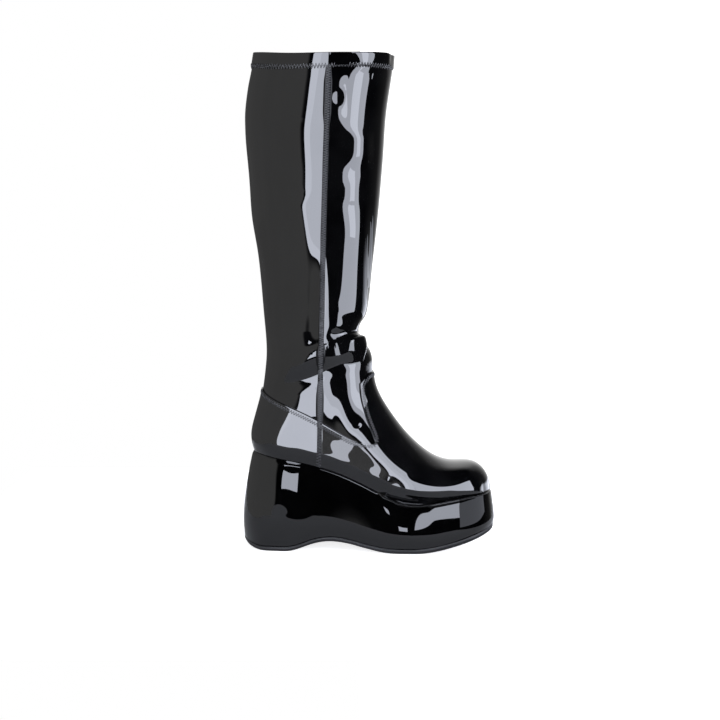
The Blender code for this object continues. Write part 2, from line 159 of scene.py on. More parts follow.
def normals(piece: Piece) -> Points:
    """Directions of a piece's vertices."""
    flat = np.empty(len(piece.data.vertices) * 3, np.float32)
    piece.data.vertex_normals.foreach_get("vector", flat)
    return flat.reshape(-1, 3).astype(float)


def move(piece: Piece, places: Points) -> None:
    """Puts a piece's vertices at new places."""
    piece.data.vertices.foreach_set("co", places.reshape(-1))
    piece.data.update()


def shape(piece: Piece, kind: str, **settings: Any) -> None:
    """Adds a modifier with its settings and applies it."""
    only(piece)
    modifier = piece.modifiers.new(kind.title(), kind)
    for name, value in settings.items():
        setattr(modifier, name, value)
    bpy.ops.object.modifier_apply(modifier=modifier.name)


def merged_copy(node: str, name: str) -> Piece:
    """A CAD node's copy with its loose triangles joined.

    Args:
        node: Name of the CAD node.
        name: Name of the new piece.

    Returns:
        The copy, at the origin.
    """
    piece = bpy.data.objects.new(name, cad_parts[node].data.copy())
    piece.data.name = name
    piece.data.materials.clear()
    bpy.context.scene.collection.objects.link(piece)
    with editing(piece):
        bpy.ops.mesh.select_all(action="SELECT")
        bpy.ops.mesh.remove_doubles(threshold=MERGE)
        bpy.ops.mesh.customdata_custom_splitnormals_clear()
    bpy.ops.object.shade_smooth(keep_sharp_edges=False)
    return piece


def steps_from(
    starts: Iterable[int], links: dict[int, set[int]], closed: Iterable[int] = ()
) -> dict[int, int]:
    """How many edges lie between each vertex and the nearest start.

    Args:
        starts: The vertices to count from.
        links: For each vertex, those it shares an edge with.
        closed: Vertices that no way leads through.

    Returns:
        The number of steps for each vertex that is reached.
    """
    steps = {start: 0 for start in starts}
    shut = set(closed)
    queue = deque(steps)
    while queue:
        here = queue.popleft()
        for beside in links[here] - shut:
            if beside not in steps:
                steps[beside] = steps[here] + 1
                queue.append(beside)
    return steps


def ease(value: Points) -> Points:
    """0 to 1 with level ends."""
    value = np.clip(value, 0, 1)
    return value * value * (3 - 2 * value)


def unit(vectors: Points) -> Points:
    """Vectors at length 1."""
    return vectors / np.maximum(np.linalg.norm(vectors, axis=-1, keepdims=True), TINY)


def tree_of(points: Points) -> KDTree:
    """A tree that finds the nearest of some points."""
    tree = KDTree(len(points))
    for index, point in enumerate(points):
        tree.insert(point, index)
    tree.balance()
    return tree


def net_of(pieces: Iterable[Piece]) -> BVHTree:
    """One net of the surfaces of some pieces."""
    points: list[Vector] = []
    faces: list[list[int]] = []
    for piece in pieces:
        first = len(points)
        points += [vertex.co.copy() for vertex in piece.data.vertices]
        faces += [[first + v for v in face.vertices] for face in piece.data.polygons]
    return BVHTree.FromPolygons(points, faces)


def rounded_line(stops: Points, closed: bool, fineness: int = 14) -> Points:
    """A smooth line that rounds the corners between stops, as a subdivided edge does.

    Args:
        stops: Points that guide the line.
        closed: Whether it runs back to its start.
        fineness: Points for each stretch.

    Returns:
        The points of the line.
    """
    if closed:
        guide = np.concatenate([stops[-1:], stops, stops[:2]])
    else:
        guide = np.concatenate([2 * stops[:1] - stops[1:2], stops, 2 * stops[-1:] - stops[-2:-1]])
    t = np.linspace(0, 1, fineness, endpoint=False)[:, None]
    weights = ((1 - t) ** 3, 3 * t**3 - 6 * t**2 + 4, -3 * t**3 + 3 * t**2 + 3 * t + 1, t**3)
    count = len(guide) - 3
    parts = [sum(w * guide[i + k] for k, w in enumerate(weights)) / 6 for i in range(count)]
    return np.concatenate(parts + ([] if closed else [stops[-1:]]))


def evenly(line: Points, pitch: float, closed: bool) -> Points:
    """Points at even distances along a line.

    Args:
        line: The line's points.
        pitch: About how far apart they are wanted.
        closed: Whether the line runs back to its start.

    Returns:
        The new points, without a second start on a closed line.
    """
    if closed:
        line = np.concatenate([line, line[:1]])
    run = np.concatenate([[0], np.cumsum(np.linalg.norm(np.diff(line, axis=0), axis=1))])
    count = max(2, round(run[-1] / pitch))
    where = np.linspace(0, run[-1], count, endpoint=False) if closed else np.linspace(0, run[-1], count + 1)
    return np.stack([np.interp(where, run, line[:, axis]) for axis in range(3)], 1)


@dataclass
class LastGrid:
    """The grid of points that the CAD upper and its overlays share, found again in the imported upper.

    Attributes:
        node: The CAD node that holds the grid.
        collar: Height above which only the collar's points lie.
        back_line: Place along the boot behind which the back line lies.
        middle: How near to the middle plane the back line's points lie.
        neighbours: How many points give the direction at a place beside them.
        blur: Squared distance that keeps a single point from giving all of it.
        points: The grid's points by row and column.
        normals: The outward direction at each point.
        near: Finds the grid points next to a place.
    """

    node: str = "upper"
    collar: float = 0.475
    back_line: float = -0.095
    middle: float = 2e-5
    neighbours: int = 4
    blur: float = 1e-8
    points: Points = field(init=False)
    normals: Points = field(init=False)
    near: KDTree = field(init=False)

    def __post_init__(self) -> None:
        """Finds the grid: rows are steps up from the feather line, columns are steps from the back line."""
        guide = merged_copy(self.node, "grid_guide")
        co = vertices(guide)
        links: dict[int, set[int]] = {v: set() for v in range(len(co))}
        for edge in guide.data.edges:
            a, b = edge.vertices
            links[a].add(b)
            links[b].add(a)
        outer, inner = self._collar_loops(co)
        down = steps_from(outer, links, inner)
        row = {v: Row.COLLAR - steps for v, steps in down.items() if steps <= Row.COLLAR}
        links = {v: links[v] & row.keys() for v in row}
        back = [v for v in links if abs(co[v, 1]) < self.middle and co[v, 0] < self.back_line]
        away = steps_from(back, links)
        front_y = {row[v]: co[v, 1] for v in links if away[v] == Col.FRONT}
        self.points = np.full((Row.COLLAR + 1, Col.AROUND, 3), np.nan)
        for v in links:
            lateral = co[v, 1] <= front_y[row[v]] * away[v] / Col.FRONT
            self.points[row[v], away[v] if lateral else -away[v]] = co[v]
        if np.isnan(self.points).any():
            raise RuntimeError("the packed upper has another grid than the one that this script expects")
        bpy.data.objects.remove(guide)
        self._aim()
        self.near = tree_of(self.points.reshape(-1, 3))

    def _collar_loops(self, co: Points) -> tuple[list[int], list[int]]:
        """The collar's outer and inner vertices, told apart in pairs across the rim."""
        collar = np.flatnonzero(co[:, 2] > self.collar)
        reach = np.linalg.norm((co[collar] - co[collar].mean(0))[:, :2], axis=1)
        apart = np.linalg.norm(co[collar, None] - co[None, collar], axis=-1)
        partner = np.argmin(apart + np.eye(len(collar)), axis=1)
        further = reach > reach[partner]
        return collar[further].tolist(), collar[~further].tolist()

    def _aim(self) -> None:
        """Works out the outward directions, which turn over nowhere."""
        forward = np.roll(self.points, -1, 1) - np.roll(self.points, 1, 1)
        self.normals = unit(np.cross(forward, np.gradient(self.points, axis=0)))
        for row in range(Row.SIDE_TOP, -1, -1):
            above = np.einsum("ij,ij->i", self.normals[row], self.normals[row + 1])
            self.normals[row, above < 0] *= -1

    def cells_of(self, co: Points, ply: Ply) -> tuple[Points, Points, Points]:
        """Row, column and layer of a piece's points.

        Args:
            co: The points.
            ply: Where the piece lies.

        Returns:
            Rows, columns, and whether each point is on the outer of the two layers.
        """
        layers = np.concatenate([(self.points + off * self.normals).reshape(-1, 3) for off in ply.value])
        tree = tree_of(layers)
        outer, cell = np.divmod([tree.find(point)[1] for point in co], len(layers) // 2)
        return *np.divmod(cell, Col.AROUND), outer > 0

    def line(self, stops: Sequence[tuple[int, int]], closed: bool = False, lift: float = 0.0) -> Points:
        """A smooth line along rows and columns of the grid.

        Args:
            stops: Corners as row and column. Columns may run on past the back, either way.
            closed: Whether the line runs back to its start.
            lift: How far it stands off the grid.

        Returns:
            The points of the line.
        """
        cells: list[tuple[int, int]] = [stops[0]]
        for target in stops[1:]:
            while cells[-1] != target:
                cells.append(tuple(a + int(np.sign(b - a)) for a, b in zip(cells[-1], target)))
        rows, cols = np.array(cells[:-1] if closed else cells).T
        cols = cols % Col.AROUND
        return rounded_line(self.points[rows, cols] + lift * self.normals[rows, cols], closed)

    def aim_at(self, places: Points) -> Points:
        """Outward directions at places near the grid."""
        aims = self.normals.reshape(-1, 3)
        found = [self.near.find_n(place, self.neighbours) for place in places]
        return unit(np.array([sum(aims[i] / (d * d + self.blur) for _, i, d in near) for near in found]))

    def sheet_map(self, piece: Piece, rows: Points, cols: Points) -> None:
        """Lays a UV map in metres on a piece, along and up the grid.

        Args:
            piece: The piece.
            rows: Row of each vertex.
            cols: Column of each vertex.
        """
        rise = np.linalg.norm(np.diff(self.points, axis=0), axis=-1).mean(1)
        up = np.concatenate([[0], np.cumsum(rise)])
        girth = np.linalg.norm(self.points - np.roll(self.points, 1, 1), axis=-1).sum(1).mean()
        layer = piece.data.uv_layers.new(name="cloth")
        for face in piece.data.polygons:
            across = cols[list(face.vertices)].astype(float)
            across[across < across.max() - Col.FRONT] += Col.AROUND
            for loop, vertex, col in zip(face.loop_indices, face.vertices, across):
                layer.data[loop].uv = (col / Col.AROUND * girth, up[rows[vertex]])


def quad_copy(node: str, name: str, grid: LastGrid, ply: Ply) -> tuple[Piece, Points, Points, Points]:
    """A CAD node's copy as clean quads on the grid.

    Args:
        node: Name of the CAD node.
        name: Name of the new piece.
        grid: The grid that the node was cut from.
        ply: Where the node lies on it.

    Returns:
        The piece, and the row, column and layer of each vertex.
    """
    piece = merged_copy(node, name)
    rows, cols, outer = grid.cells_of(vertices(piece), ply)
    ends = np.array([edge.vertices[:] for edge in piece.data.edges]).T
    changes = sum((kind[ends[0]] != kind[ends[1]]).astype(int) for kind in (rows, cols, outer))
    choose(piece, "EDGE", changes > 1)
    with editing(piece):
        bpy.ops.mesh.dissolve_edges(use_verts=False)
    return piece, rows, cols, outer


def crease_rims(piece: Piece, angle: float = SHARP) -> None:
    """Marks a piece's sharp edges so that subdivision keeps them."""
    with editing(piece):
        bpy.ops.mesh.select_all(action="DESELECT")
        bpy.ops.mesh.edges_select_sharp(sharpness=angle)
    chosen = np.empty(len(piece.data.edges), bool)
    piece.data.edges.foreach_get("select", chosen)
    crease = piece.data.attributes.new("crease_edge", "FLOAT", "EDGE")
    crease.data.foreach_set("value", chosen.astype(np.float32))


def hold_form(piece: Piece, rounds: int) -> None:
    """Moves a cage out so that its smooth surface passes through the CAD points.

    Args:
        piece: The cage.
        rounds: How often the remaining distance is added.
    """
    wanted = vertices(piece)
    modifier = piece.modifiers.new("Limit", "SUBSURF")
    modifier.levels = modifier.render_levels = 1
    for _ in range(rounds):
        bpy.context.view_layer.update()
        smooth = piece.evaluated_get(bpy.context.evaluated_depsgraph_get())
        flat = np.empty(len(smooth.data.vertices) * 3)
        smooth.data.vertices.foreach_get("co", flat)
        reached = flat.reshape(-1, 3)[: len(wanted)]
        move(piece, vertices(piece) + wanted - reached)
    piece.modifiers.remove(modifier)


def smooth_out(piece: Piece, levels: int, rounds: int = 2, edge: float = 0.0) -> None:
    """Turns a cage of quads into a smooth surface with soft rims.

    Args:
        piece: The cage.
        levels: Times that its faces are halved.
        rounds: Rounds of holding the CAD form.
        edge: Radius of its rims, or 0 for none.
    """
    crease_rims(piece)
    hold_form(piece, rounds)
    shape(piece, "SUBSURF", levels=levels, render_levels=levels)
    if edge:
        shape(piece, "BEVEL", width=edge, segments=2, limit_method="ANGLE", angle_limit=SHARP)
    only(piece)
    bpy.ops.object.shade_smooth(keep_sharp_edges=False)


def finish_piece(piece: Piece, finish: bpy.types.Material, slot: Slot, *nodes: str) -> Piece:
    """Gives a piece its finish, its body and the CAD nodes it stands for.

    Args:
        piece: The piece.
        finish: Its material.
        slot: The record's slot that the finish follows; not used.
        nodes: CAD nodes that it replaces, if any.

    Returns:
        The piece.
    """
    piece.data.materials.clear()
    piece.data.materials.append(finish)
    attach(piece, BODY)
    if nodes:
        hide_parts(*nodes)
    LOG.info("%s: %d faces", piece.name, len(piece.data.polygons))
    return piece


class NodeSheet:
    """Places and joins the nodes of one tree."""

    def __init__(self, tree: bpy.types.NodeTree) -> None:
        """Empties the tree and keeps it."""
        self.tree = tree
        tree.nodes.clear()

    def add(self, kind: str, inputs: dict[Any, Any] | None = None, **settings: Any) -> bpy.types.Node:
        """Adds a node.

        Args:
            kind: Blender's name of the node type.
            inputs: Values or sockets to join, by socket name or number.
            settings: Properties of the node.

        Returns:
            The node.
        """
        node = self.tree.nodes.new(kind)
        for name, value in settings.items():
            setattr(node, name, value)
        for name, value in (inputs or {}).items():
            if isinstance(value, Socket):
                self.tree.links.new(value, node.inputs[name])
            else:
                node.inputs[name].default_value = value
        return node

    def math(self, operation: str, a: Any, b: Any = 0.0) -> Socket:
        """One sum of two values."""
        return self.add("ShaderNodeMath", {0: a, 1: b}, operation=operation).outputs[0]

    def span(self, value: Any, low: float, high: float, to: Span = (0.0, 1.0)) -> Socket:
        """A value eased from one span to another."""
        inputs = {"Value": value, "From Min": low, "From Max": high, "To Min": to[0], "To Max": to[1]}
        return self.add("ShaderNodeMapRange", inputs, interpolation_type="SMOOTHSTEP").outputs["Result"]

    def noise(self, vector: Any, scale: Any, detail: float = 3.0) -> Socket:
        """Soft noise at a scale."""
        inputs = {"Vector": vector, "Scale": scale, "Detail": detail}
        return self.add("ShaderNodeTexNoise", inputs).outputs["Fac"]


@dataclass
class SurfaceGroups:
    """Surface effects that several finishes share, each a node group that is built once.

    Scales are in waves or cells per metre, and edges are the noise values between which a mask rises.
    """

    tone_edge: Span = (0.3, 0.7)
    speck_edge: Span = (0.12, 0.04)
    speck_share: float = 0.6
    haze_scale: float = 24.0
    haze_edge: Span = (0.5, 0.8)
    fuzz_scale: float = 900.0
    fuzz_share: float = 0.4
    film: bpy.types.NodeTree = field(init=False)
    dust: bpy.types.NodeTree = field(init=False)
    weave: bpy.types.NodeTree = field(init=False)

    def __post_init__(self) -> None:
        """Builds the groups."""
        self.film = self._film()
        self.dust = self._dust()
        self.weave = self._weave()

    @staticmethod
    def _start(
        name: str, inputs: dict[str, str], outputs: dict[str, str]
    ) -> tuple[NodeSheet, bpy.types.Node]:
        """A new group with its sockets.

        Args:
            name: Name of the group.
            inputs: Socket types by name.
            outputs: Socket types by name.

        Returns:
            The sheet of the group and its input node.
        """
        tree = bpy.data.node_groups.new(name, "ShaderNodeTree")
        sheet = NodeSheet(tree)
        for way, sockets in (("INPUT", inputs), ("OUTPUT", outputs)):
            for socket, kind in sockets.items():
                tree.interface.new_socket(name=socket, in_out=way, socket_type=f"NodeSocket{kind}")
        return sheet, sheet.add("NodeGroupInput")

    def _film(self) -> bpy.types.NodeTree:
        """Orange peel of a lacquer film: its height, and slow changes of tone."""
        sheet, given = self._start(
            "film_peel",
            {"Vector": "Vector", "Peel Scale": "Float", "Tone Scale": "Float"},
            {"Height": "Float", "Tone": "Float"},
        )
        peel = sheet.noise(given.outputs["Vector"], given.outputs["Peel Scale"], detail=2.0)
        tone = sheet.noise(given.outputs["Vector"], given.outputs["Tone Scale"], detail=4.0)
        sheet.add("NodeGroupOutput", {"Height": peel, "Tone": sheet.span(tone, *self.tone_edge)})
        return sheet.tree

    def _dust(self) -> bpy.types.NodeTree:
        """Scattered specks and handling haze as one mask."""
        sheet, given = self._start(
            "dust_haze", {"Vector": "Vector", "Speck Scale": "Float", "Amount": "Float"}, {"Mask": "Float"}
        )
        specks = sheet.add(
            "ShaderNodeTexVoronoi", {"Vector": given.outputs["Vector"], "Scale": given.outputs["Speck Scale"]}
        ).outputs["Distance"]
        haze = sheet.noise(given.outputs["Vector"], self.haze_scale, detail=5.0)
        near = sheet.math("MULTIPLY", sheet.span(specks, *self.speck_edge), self.speck_share)
        mask = sheet.math("ADD", near, sheet.span(haze, *self.haze_edge))
        sheet.add("NodeGroupOutput", {"Mask": sheet.math("MULTIPLY", mask, given.outputs["Amount"])})
        return sheet.tree

    def _weave(self) -> bpy.types.NodeTree:
        """Plain weave on two coordinates: the height of its threads, and a tone that is painted shading,
        darker in the hollows between threads, mixed with random fuzz.
        """
        sheet, given = self._start(
            "plain_weave",
            {"Vector": "Vector", "Threads per Metre": "Float"},
            {"Height": "Float", "Shade": "Float"},
        )
        part = sheet.add("ShaderNodeSeparateXYZ", {0: given.outputs["Vector"]})
        turns = sheet.math("MULTIPLY", given.outputs["Threads per Metre"], math.pi)
        warp = sheet.math("SINE", sheet.math("MULTIPLY", part.outputs[0], turns))
        weft = sheet.math("SINE", sheet.math("MULTIPLY", part.outputs[1], turns))
        over = sheet.math("MULTIPLY", warp, weft)
        height = sheet.math("ADD", sheet.math("MULTIPLY", over, 0.5), 0.5)
        fuzz = sheet.noise(given.outputs["Vector"], self.fuzz_scale, detail=4.0)
        # Painted shading: the tone follows thread height, so the hollows between threads come out darker.
        painted_hollow_shade = sheet.math("MULTIPLY", height, 1 - self.fuzz_share)
        shade = sheet.math("ADD", painted_hollow_shade, sheet.math("MULTIPLY", fuzz, self.fuzz_share))
        sheet.add("NodeGroupOutput", {"Height": height, "Shade": shade})
        return sheet.tree


class Finish:
    """A material on its sheet, with its shader."""

    def __init__(self, name: str) -> None:
        """Starts a material with an empty sheet."""
        self.material = bpy.data.materials.new(name)
        self.material.use_nodes = True
        self.sheet = NodeSheet(self.material.node_tree)

    def place(self, kind: str = "Object") -> Socket:
        """The piece's own coordinates."""
        return self.sheet.add("ShaderNodeTexCoord").outputs[kind]

    def peel(
        self, groups: SurfaceGroups, place: Socket, peel_scale: float, tone_scale: float
    ) -> bpy.types.Node:
        """Places the shared film group with its values."""
        inputs = {"Vector": place, "Peel Scale": peel_scale, "Tone Scale": tone_scale}
        return self.sheet.add("ShaderNodeGroup", inputs, node_tree=groups.film)

    def dust(self, groups: SurfaceGroups, place: Socket, speck_scale: float, amount: float) -> Socket:
        """Places the shared dust group with its values."""
        inputs = {"Vector": place, "Speck Scale": speck_scale, "Amount": amount}
        return self.sheet.add("ShaderNodeGroup", inputs, node_tree=groups.dust).outputs["Mask"]

    def weave(self, groups: SurfaceGroups, place: Socket, threads: float) -> bpy.types.Node:
        """Places the shared weave group with its threads per metre."""
        inputs = {"Vector": place, "Threads per Metre": threads}
        return self.sheet.add("ShaderNodeGroup", inputs, node_tree=groups.weave)

    def vary(self, share: Socket, span: Span) -> Socket:
        """A value that a share from 0 to 1 moves over a span."""
        return self.sheet.span(share, 0.0, 1.0, span)

    def mix(self, share: Any, a: Colour, b: Colour) -> Socket:
        """Mixes two colours by a share."""
        node = self.sheet.add("ShaderNodeMix", data_type="RGBA")
        self.sheet.tree.links.new(share, node.inputs["Factor"])
        node.inputs["A"].default_value = (*a, 1)
        node.inputs["B"].default_value = (*b, 1)
        return next(out for out in node.outputs if out.type == "RGBA")

    def bump(self, height: Socket, strength: float, depth: float) -> Socket:
        """Relief from a height."""
        inputs = {"Height": height, "Strength": strength, "Distance": depth}
        return self.sheet.add("ShaderNodeBump", inputs).outputs["Normal"]

    def shader(self, inputs: dict[str, Any]) -> bpy.types.Material:
        """Closes the sheet with its shader.

        Args:
            inputs: Values and sockets of the shader.

        Returns:
            The finished material.
        """
        body = self.sheet.add("ShaderNodeBsdfPrincipled", inputs)
        self.sheet.add("ShaderNodeOutputMaterial", {"Surface": body.outputs[0]})
        return self.material


@dataclass(frozen=True)
class PatentFinish:
    """Black patent: a dark base under a clear mirror film."""

    name: str
    dark: Colour = (0.0005, 0.0005, 0.0006)
    pale: Colour = (0.0014, 0.0014, 0.0015)
    roughness: Span = (0.22, 0.40)
    film: Span = (1.0, 0.9)
    film_roughness: float = 0.012
    film_index: float = 1.5
    base_gloss: float = 0.0
    peel_scale: float = 620.0
    peel_depth: float = 0.00005
    peel_strength: float = 0.3
    tone_scale: float = 26.0
    speck_scale: float = 260.0
    haze: float = 0.35

    def make(self, groups: SurfaceGroups) -> bpy.types.Material:
        """Builds the material."""
        finish = Finish(self.name)
        place = finish.place()
        film = finish.peel(groups, place, self.peel_scale, self.tone_scale)
        dust = finish.dust(groups, place, self.speck_scale, self.haze)
        return finish.shader(
            {
                "Base Color": finish.mix(film.outputs["Tone"], self.dark, self.pale),
                "Roughness": finish.vary(dust, self.roughness),
                "Specular IOR Level": self.base_gloss,
                "Coat Weight": finish.vary(dust, self.film),
                "Coat Roughness": self.film_roughness,
                "Coat IOR": self.film_index,
                "Normal": finish.bump(film.outputs["Height"], self.peel_strength, self.peel_depth),
            }
        )


@dataclass(frozen=True)
class RubberFinish:
    """Matt dark grey rubber with a fine moulded grain and a cut tread below.

    The tread's ribs run in arrows to the toe, and groove is the share of a rib over which its side falls.
    """

    name: str
    dark: Colour = (0.020, 0.020, 0.021)
    pale: Colour = (0.042, 0.042, 0.043)
    roughness: Span = (0.48, 0.66)
    rib: float = 7.5 * MM
    rib_slant: float = 0.55
    groove: Span = (0.10, 0.18)
    downward: Span = (-0.80, -0.95)
    tread_depth: float = 0.9 * MM
    tread_strength: float = 0.9
    grain_scale: float = 1500.0
    grain_share: float = 0.12
    tone_scale: float = 60.0
    speck_scale: float = 420.0
    dirt: float = 0.8

    def make(self, groups: SurfaceGroups) -> bpy.types.Material:
        """Builds the material."""
        finish = Finish(self.name)
        sheet, place = finish.sheet, finish.place()
        part = sheet.add("ShaderNodeSeparateXYZ", {0: place})
        slant = sheet.math("MULTIPLY", sheet.math("ABSOLUTE", part.outputs[1]), self.rib_slant)
        along = sheet.math("DIVIDE", sheet.math("ADD", part.outputs[0], slant), self.rib)
        ribs = sheet.span(sheet.math("PINGPONG", along, 0.5), *self.groove)
        facing = sheet.add("ShaderNodeSeparateXYZ", {0: finish.place("Normal")}).outputs[2]
        below = sheet.span(facing, *self.downward)
        tread = sheet.math("MULTIPLY", sheet.math("SUBTRACT", ribs, 1.0), below)
        film = finish.peel(groups, place, self.grain_scale, self.tone_scale)
        dust = finish.dust(groups, place, self.speck_scale, self.dirt)
        height = sheet.math("ADD", tread, sheet.math("MULTIPLY", film.outputs["Height"], self.grain_share))
        return finish.shader(
            {
                "Base Color": finish.mix(dust, self.dark, self.pale),
                "Roughness": finish.vary(film.outputs["Tone"], self.roughness),
                "Normal": finish.bump(height, self.tread_strength, self.tread_depth),
            }
        )


class ClothMap(Enum):
    """What a cloth's weave follows."""

    SHEET = "UV"
    FLAT = "Object"


@dataclass(frozen=True)
class ClothFinish:
    """Black woven cloth, for the lining and the sock of the insole."""

    name: str
    follows: ClothMap
    dark: Colour = (0.012, 0.012, 0.013)
    pale: Colour = (0.050, 0.050, 0.053)
    threads: float = 1100.0
    roughness: Span = (0.72, 0.92)
    sheen: float = 0.25
    sheen_roughness: float = 0.5
    thread_depth: float = 0.3 * MM
    thread_strength: float = 0.5
    speck_scale: float = 500.0
    lint: float = 0.5

    def make(self, groups: SurfaceGroups) -> bpy.types.Material:
        """Builds the material."""
        finish = Finish(self.name)
        place = finish.place(self.follows.value)
        weave = finish.weave(groups, place, self.threads)
        dust = finish.dust(groups, place, self.speck_scale, self.lint)
        return finish.shader(
            {
                # The base colour carries painted shading from the weave's hollows, mixed with random fuzz
                # tone.
                "Base Color": finish.mix(weave.outputs["Shade"], self.dark, self.pale),
                "Roughness": finish.vary(dust, self.roughness),
                "Sheen Weight": self.sheen,
                "Sheen Roughness": self.sheen_roughness,
                "Normal": finish.bump(weave.outputs["Height"], self.thread_strength, self.thread_depth),
            }
        )


@dataclass(frozen=True)
class ThreadFinish:
    """Black sewing thread with a twist."""

    name: str
    dark: Colour = (0.008, 0.008, 0.009)
    pale: Colour = (0.030, 0.030, 0.032)
    roughness: Span = (0.20, 0.34)
    twist_scale: float = 3200.0
    tone_scale: float = 900.0
    twist_depth: float = 0.2 * MM
    twist_strength: float = 0.4

    def make(self, groups: SurfaceGroups) -> bpy.types.Material:
        """Builds the material."""
        finish = Finish(self.name)
        place = finish.place()
        film = finish.peel(groups, place, self.twist_scale, self.tone_scale)
        return finish.shader(
            {
                "Base Color": finish.mix(film.outputs["Tone"], self.dark, self.pale),
                "Roughness": finish.vary(film.outputs["Tone"], self.roughness),
                "Normal": finish.bump(film.outputs["Height"], self.twist_strength, self.twist_depth),
            }
        )


class Wardrobe:
    """The finishes of the boot, each made once."""

    def __init__(self) -> None:
        """Makes the materials."""
        groups = SurfaceGroups()
        strip = PatentFinish(
            "seam_patent", film=(0.35, 0.30), film_roughness=0.28, peel_scale=900.0, peel_depth=0.2 * MM
        )
        platform = PatentFinish("platform_patent", peel_scale=480.0, film_roughness=0.018)
        dull = ThreadFinish("dull_thread", (0.012, 0.012, 0.013), (0.045, 0.045, 0.048), (0.32, 0.50))
        self.upper = PatentFinish("black_patent").make(groups)
        self.strip = strip.make(groups)
        self.platform = platform.make(groups)
        self.rubber = RubberFinish("matt_rubber").make(groups)
        self.lining = ClothFinish("lining_cloth", ClothMap.SHEET).make(groups)
        self.sock = ClothFinish("sock_cloth", ClothMap.FLAT, threads=900.0).make(groups)
        self.hem_thread = ThreadFinish("shiny_thread").make(groups)
        self.seam_thread = dull.make(groups)


@dataclass(frozen=True)
class SideView:
    """Finds points of a surface from their place in the side view.

    Attributes:
        net: A net of the surface.
        stand: How far from the middle plane the view is taken.
        reach: Where a place lies off the surface, how far from the middle plane the nearest point is sought.
    """

    net: BVHTree
    stand: float = 0.5
    reach: float = 5 * MM

    @classmethod
    def on_grid(cls, grid: LastGrid) -> SideView:
        """The side view of the upper."""
        faces = []
        for row in range(Row.COLLAR):
            for col in range(Col.AROUND):
                beside = (col + 1) % Col.AROUND
                cell = (row, col), (row, beside), (row + 1, beside), (row + 1, col)
                faces.append([r * Col.AROUND + c for r, c in cell])
        return cls(BVHTree.FromPolygons([Vector(p) for p in grid.points.reshape(-1, 3)], faces))

    @classmethod
    def on_piece(cls, piece: Piece) -> SideView:
        """The side view of one piece."""
        return cls(net_of([piece]))

    def find(self, x: float, z: float, side: Side) -> tuple[Points, Points]:
        """The skin at a place of the side view.

        Args:
            x: Place along the boot, in millimetres.
            z: Height, in millimetres.
            side: The side to look from.

        Returns:
            The point and the outward direction there.
        """
        start = Vector((x * MM, side.value * self.stand, z * MM))
        place, normal = self.net.ray_cast(start, Vector((0, -side.value, 0)))[:2]
        if place is None:
            beside = Vector((x * MM, side.value * self.reach, z * MM))
            place, normal = self.net.find_nearest(beside)[:2]
        return np.array(place), np.array(normal)


@dataclass(frozen=True)
class Fold:
    """A soft roll, or a trough, along a line of the side view.

    Attributes:
        name: What it is on the boot.
        line: Places on it as distance along the boot and height, in millimetres.
        left: Width of the flank to the left, seen from outside along the line, in millimetres.
        right: Width of the flank to the right.
        height: How far it stands out, in millimetres. A trough's is negative.
        start: Share of the line over which it grows.
        end: Share of the line over which it fades.
        soft: Rounding of its crest, in millimetres.
        side: The side of the boot that it lies on.
        sharp: Share of a straight slope in its section, where the rest is a bell.
        pace: Distance of the points that stand for the line, in millimetres.
    """

    name: str
    line: Pairs
    left: float
    right: float
    height: float
    start: float = 0.25
    end: float = 0.25
    soft: float = 2.5
    side: Side = Side.LATERAL
    sharp: float = 0.3
    pace: float = 4.0

    def lift(self, co: Points, view: SideView) -> Points:
        """How far points move out.

        Args:
            co: The points.
            view: The side view that the fold's line is drawn in.

        Returns:
            The distance for each point, in metres.
        """
        found = [view.find(x, z, self.side) for x, z in self.line]
        route = rounded_line(np.array([place for place, _ in found]), closed=False, fineness=6)
        path = evenly(route, self.pace * MM, closed=False)
        outward = unit(np.mean([normal for _, normal in found], axis=0))
        best, share, leftward = np.full(len(co), np.inf), np.zeros(len(co)), np.zeros(len(co))
        for index, (a, b) in enumerate(zip(path[:-1], path[1:])):
            step = b - a
            t = np.clip((co - a) @ step / (step @ step), 0, 1)
            gap = co - a - t[:, None] * step
            apart = np.linalg.norm(gap, axis=1)
            closer = apart < best
            best[closer] = apart[closer]
            share[closer] = (index + t[closer]) / (len(path) - 1)
            leftward[closer] = gap[closer] @ np.cross(outward, step)
        soft = self.soft * MM
        away = (np.hypot(best, soft) - soft) / np.where(leftward > 0, self.left, self.right) / MM
        flank = np.clip(1 - away, 0, 1)
        bell = self.sharp * flank + (1 - self.sharp) * ease(flank)
        return self.height * MM * bell * ease(share / self.start) * ease((1 - share) / self.end)


@dataclass(frozen=True)
class Dent:
    """A soft dint or swelling at a place of the side view.

    Attributes:
        x: Place along the boot, in millimetres.
        z: Height of its middle, in millimetres.
        across: Half its width, in millimetres.
        up: Half its height in the side view, in millimetres.
        height: How far it stands out, in millimetres. A dint's is negative.
        tilt: How far it is turned in the surface, in degrees.
        side: The side of the boot that it lies on.
    """

    x: float
    z: float
    across: float
    up: float
    height: float
    tilt: float = 0.0
    side: Side = Side.LATERAL

    def lift(self, co: Points, view: SideView) -> Points:
        """How far points move out.

        Args:
            co: The points.
            view: The side view that the dent is placed in.

        Returns:
            The distance for each point, in metres.
        """
        centre, normal = view.find(self.x, self.z, self.side)
        level = unit(np.cross((0, 0, 1), normal))
        steep = np.cross(normal, level)
        turn = math.radians(self.tilt)
        axes = (
            (math.cos(turn) * level + math.sin(turn) * steep, self.across),
            (math.cos(turn) * steep - math.sin(turn) * level, self.up),
            (normal, 2 * max(self.across, self.up)),
        )
        reach = sum(((co - centre) @ axis / (size * MM)) ** 2 for axis, size in axes)
        return self.height * MM * np.clip(1 - reach, 0, None) ** 3


@dataclass(frozen=True)
class Ripple:
    """A slow wave of the film over the whole boot, in waves per metre along each axis."""

    waves: tuple[float, float, float]
    height: float
    start: float

    def lift(self, co: Points, view: SideView) -> Points:
        """How far points move out, in metres."""
        return self.height * MM * np.sin(co @ np.array(self.waves) * 2 * math.pi + self.start)


